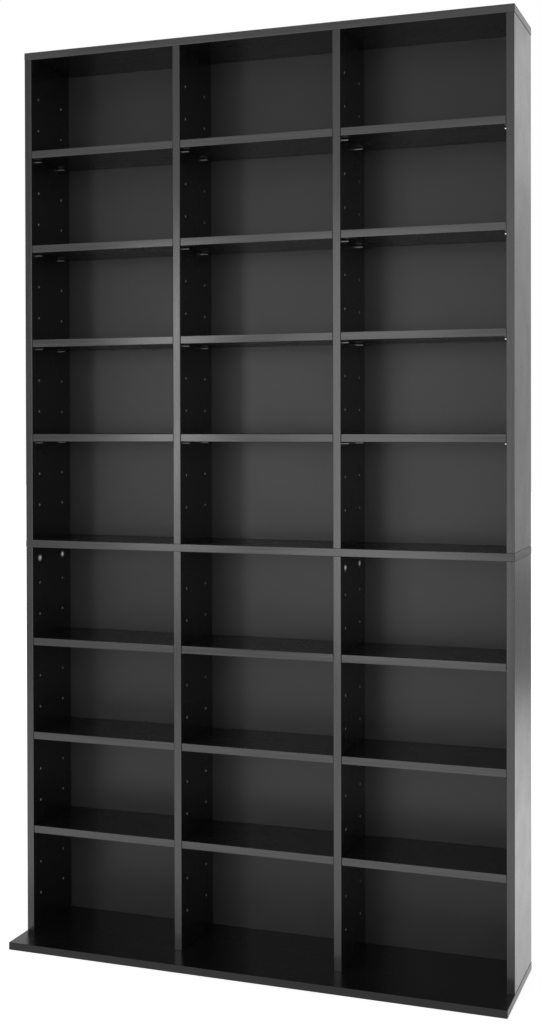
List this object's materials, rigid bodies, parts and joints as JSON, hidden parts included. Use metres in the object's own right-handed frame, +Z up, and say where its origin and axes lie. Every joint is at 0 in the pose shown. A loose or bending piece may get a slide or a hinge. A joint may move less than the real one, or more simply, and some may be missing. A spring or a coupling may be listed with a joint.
{
  "type": "cd rack",
  "caption": "Tall open-fronted storage rack of black laminated board, with loose shelves on pins between uprights, standing on a deeper base board.",
  "frame": {"origin": "on the floor, at the centre of the outline seen from above", "axes": "+Z up, the open front faces -Y, +X to the right as seen from the front"},
  "size_m": [1, 0.251, 1.8072],
  "materials": {
    "board_laminate": "satin black melamine laminate on particle board",
    "back_hardboard": "painted black hardboard",
    "zinc_casting": "bright cast zinc",
    "plated_steel": "bright plated steel"
  },
  "bodies": {
    "carcass": {"base_board": "board_laminate", "middle_board": "board_laminate", "top_board": "board_laminate", "lower_left_side": "board_laminate", "lower_left_divider": "board_laminate", "lower_right_divider": "board_laminate", "lower_right_side": "board_laminate", "lower_left_back": "back_hardboard", "lower_centre_back": "back_hardboard", "lower_right_back": "back_hardboard", "upper_left_side": "board_laminate", "upper_left_divider": "board_laminate", "upper_right_divider": "board_laminate", "upper_right_side": "board_laminate", "upper_left_back": "back_hardboard", "upper_centre_back": "back_hardboard", "upper_right_back": "back_hardboard", "lower_left_side_foot_screw": "plated_steel", "lower_left_side_front_cam": "zinc_casting", "lower_left_side_front_cam_bolt": "plated_steel", "lower_left_side_rear_cam": "zinc_casting", "lower_left_side_rear_cam_bolt": "plated_steel", "lower_left_divider_foot_screw": "plated_steel", "lower_left_divider_front_cam": "zinc_casting", "lower_left_divider_front_cam_bolt": "plated_steel", "lower_left_divider_rear_cam": "zinc_casting", "lower_left_divider_rear_cam_bolt": "plated_steel", "lower_right_divider_foot_screw": "plated_steel", "lower_right_divider_front_cam": "zinc_casting", "lower_right_divider_front_cam_bolt": "plated_steel", "lower_right_divider_rear_cam": "zinc_casting", "lower_right_divider_rear_cam_bolt": "plated_steel", "lower_right_side_foot_screw": "plated_steel", "lower_right_side_front_cam": "zinc_casting", "lower_right_side_front_cam_bolt": "plated_steel", "lower_right_side_rear_cam": "zinc_casting", "lower_right_side_rear_cam_bolt": "plated_steel"},
    "lower_left_shelf_1": {"lower_left_shelf_1": "board_laminate"},
    "lower_left_shelf_2": {"lower_left_shelf_2": "board_laminate"},
    "lower_left_shelf_3": {"lower_left_shelf_3": "board_laminate"},
    "lower_centre_shelf_1": {"lower_centre_shelf_1": "board_laminate"},
    "lower_centre_shelf_2": {"lower_centre_shelf_2": "board_laminate"},
    "lower_centre_shelf_3": {"lower_centre_shelf_3": "board_laminate"},
    "lower_right_shelf_1": {"lower_right_shelf_1": "board_laminate"},
    "lower_right_shelf_2": {"lower_right_shelf_2": "board_laminate"},
    "lower_right_shelf_3": {"lower_right_shelf_3": "board_laminate"},
    "upper_left_shelf_1": {"upper_left_shelf_1": "board_laminate"},
    "upper_left_shelf_2": {"upper_left_shelf_2": "board_laminate"},
    "upper_left_shelf_3": {"upper_left_shelf_3": "board_laminate"},
    "upper_left_shelf_4": {"upper_left_shelf_4": "board_laminate"},
    "upper_centre_shelf_1": {"upper_centre_shelf_1": "board_laminate"},
    "upper_centre_shelf_2": {"upper_centre_shelf_2": "board_laminate"},
    "upper_centre_shelf_3": {"upper_centre_shelf_3": "board_laminate"},
    "upper_centre_shelf_4": {"upper_centre_shelf_4": "board_laminate"},
    "upper_right_shelf_1": {"upper_right_shelf_1": "board_laminate"},
    "upper_right_shelf_2": {"upper_right_shelf_2": "board_laminate"},
    "upper_right_shelf_3": {"upper_right_shelf_3": "board_laminate"},
    "upper_right_shelf_4": {"upper_right_shelf_4": "board_laminate"}
  },
  "joints": [
    {"name": "lower_left_shelf_1_slide", "type": "slide", "parent": "carcass", "child": "lower_left_shelf_1", "axis": [0, -1, 0], "range_m": [0, 0.17]},
    {"name": "lower_left_shelf_2_slide", "type": "slide", "parent": "carcass", "child": "lower_left_shelf_2", "axis": [0, -1, 0], "range_m": [0, 0.17]},
    {"name": "lower_left_shelf_3_slide", "type": "slide", "parent": "carcass", "child": "lower_left_shelf_3", "axis": [0, -1, 0], "range_m": [0, 0.17]},
    {"name": "lower_centre_shelf_1_slide", "type": "slide", "parent": "carcass", "child": "lower_centre_shelf_1", "axis": [0, -1, 0], "range_m": [0, 0.17]},
    {"name": "lower_centre_shelf_2_slide", "type": "slide", "parent": "carcass", "child": "lower_centre_shelf_2", "axis": [0, -1, 0], "range_m": [0, 0.17]},
    {"name": "lower_centre_shelf_3_slide", "type": "slide", "parent": "carcass", "child": "lower_centre_shelf_3", "axis": [0, -1, 0], "range_m": [0, 0.17]},
    {"name": "lower_right_shelf_1_slide", "type": "slide", "parent": "carcass", "child": "lower_right_shelf_1", "axis": [0, -1, 0], "range_m": [0, 0.17]},
    {"name": "lower_right_shelf_2_slide", "type": "slide", "parent": "carcass", "child": "lower_right_shelf_2", "axis": [0, -1, 0], "range_m": [0, 0.17]},
    {"name": "lower_right_shelf_3_slide", "type": "slide", "parent": "carcass", "child": "lower_right_shelf_3", "axis": [0, -1, 0], "range_m": [0, 0.17]},
    {"name": "upper_left_shelf_1_slide", "type": "slide", "parent": "carcass", "child": "upper_left_shelf_1", "axis": [0, -1, 0], "range_m": [0, 0.17]},
    {"name": "upper_left_shelf_2_slide", "type": "slide", "parent": "carcass", "child": "upper_left_shelf_2", "axis": [0, -1, 0], "range_m": [0, 0.17]},
    {"name": "upper_left_shelf_3_slide", "type": "slide", "parent": "carcass", "child": "upper_left_shelf_3", "axis": [0, -1, 0], "range_m": [0, 0.17]},
    {"name": "upper_left_shelf_4_slide", "type": "slide", "parent": "carcass", "child": "upper_left_shelf_4", "axis": [0, -1, 0], "range_m": [0, 0.17]},
    {"name": "upper_centre_shelf_1_slide", "type": "slide", "parent": "carcass", "child": "upper_centre_shelf_1", "axis": [0, -1, 0], "range_m": [0, 0.17]},
    {"name": "upper_centre_shelf_2_slide", "type": "slide", "parent": "carcass", "child": "upper_centre_shelf_2", "axis": [0, -1, 0], "range_m": [0, 0.17]},
    {"name": "upper_centre_shelf_3_slide", "type": "slide", "parent": "carcass", "child": "upper_centre_shelf_3", "axis": [0, -1, 0], "range_m": [0, 0.17]},
    {"name": "upper_centre_shelf_4_slide", "type": "slide", "parent": "carcass", "child": "upper_centre_shelf_4", "axis": [0, -1, 0], "range_m": [0, 0.17]},
    {"name": "upper_right_shelf_1_slide", "type": "slide", "parent": "carcass", "child": "upper_right_shelf_1", "axis": [0, -1, 0], "range_m": [0, 0.17]},
    {"name": "upper_right_shelf_2_slide", "type": "slide", "parent": "carcass", "child": "upper_right_shelf_2", "axis": [0, -1, 0], "range_m": [0, 0.17]},
    {"name": "upper_right_shelf_3_slide", "type": "slide", "parent": "carcass", "child": "upper_right_shelf_3", "axis": [0, -1, 0], "range_m": [0, 0.17]},
    {"name": "upper_right_shelf_4_slide", "type": "slide", "parent": "carcass", "child": "upper_right_shelf_4", "axis": [0, -1, 0], "range_m": [0, 0.17]}
  ]
}
